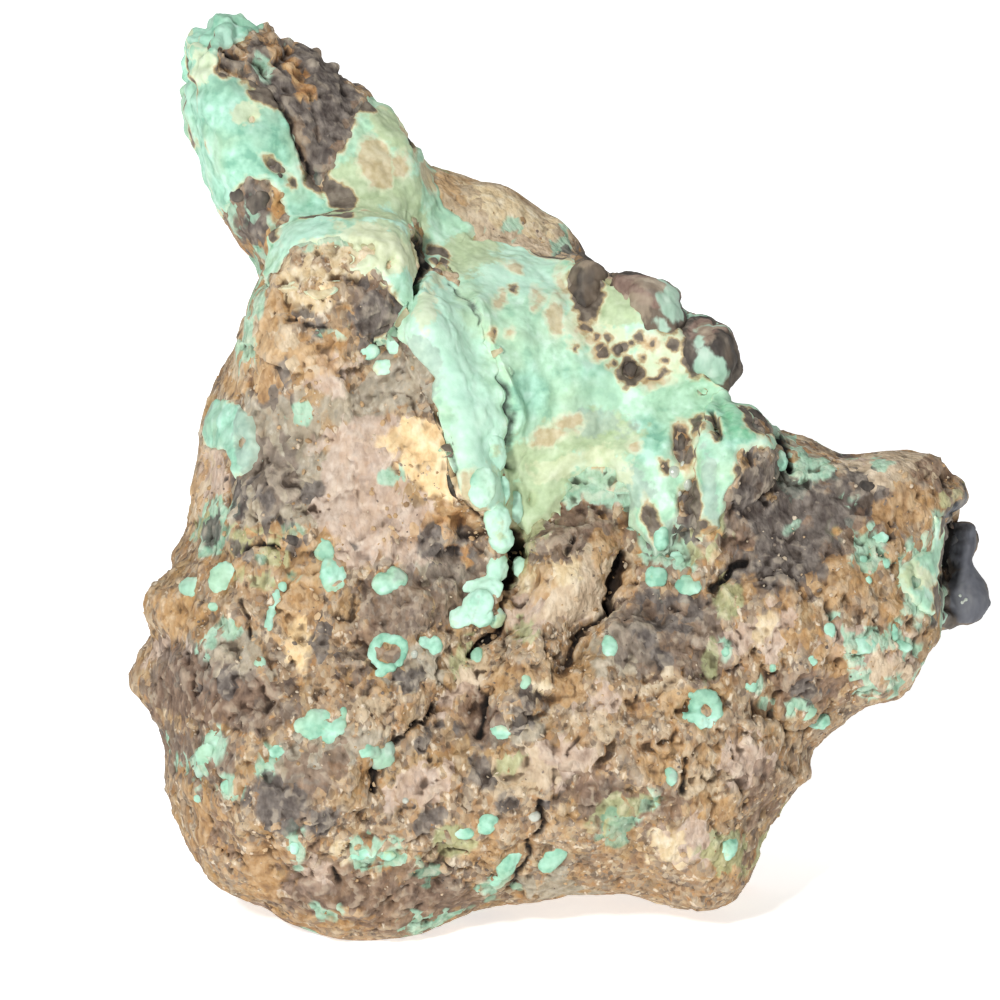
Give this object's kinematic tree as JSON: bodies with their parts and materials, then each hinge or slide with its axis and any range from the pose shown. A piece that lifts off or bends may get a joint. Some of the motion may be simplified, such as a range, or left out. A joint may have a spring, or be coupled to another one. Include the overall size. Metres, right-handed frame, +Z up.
{
  "type": "azurite malachite specimen",
  "caption": "Rough hand specimen of rusty copper-ore rock crusted with mint-green malachite, with a tall horn and a side arm, standing on its flat broken foot.",
  "frame": {"origin": "in the plane of the flat foot, under the middle of the specimen's box", "axes": "+Z up; the show face looks towards -Y and leans back 18 degrees from the vertical; +X is to the right of someone who faces it, towards the arm"},
  "size_m": [0.0858, 0.0502, 0.0886],
  "materials": {
    "gossan_rock": "rough, granular, rusty brown and tan with dark manganese stains",
    "malachite": "fine botryoidal crust, chalky to waxy, mint green",
    "manganese_oxide": "dull sooty brown-black",
    "chalcedony": "small glassy grey beads and grains"
  },
  "bodies": {
    "root": {"azurite_malachite_specimen": "gossan_rock"}
  },
  "joints": []
}
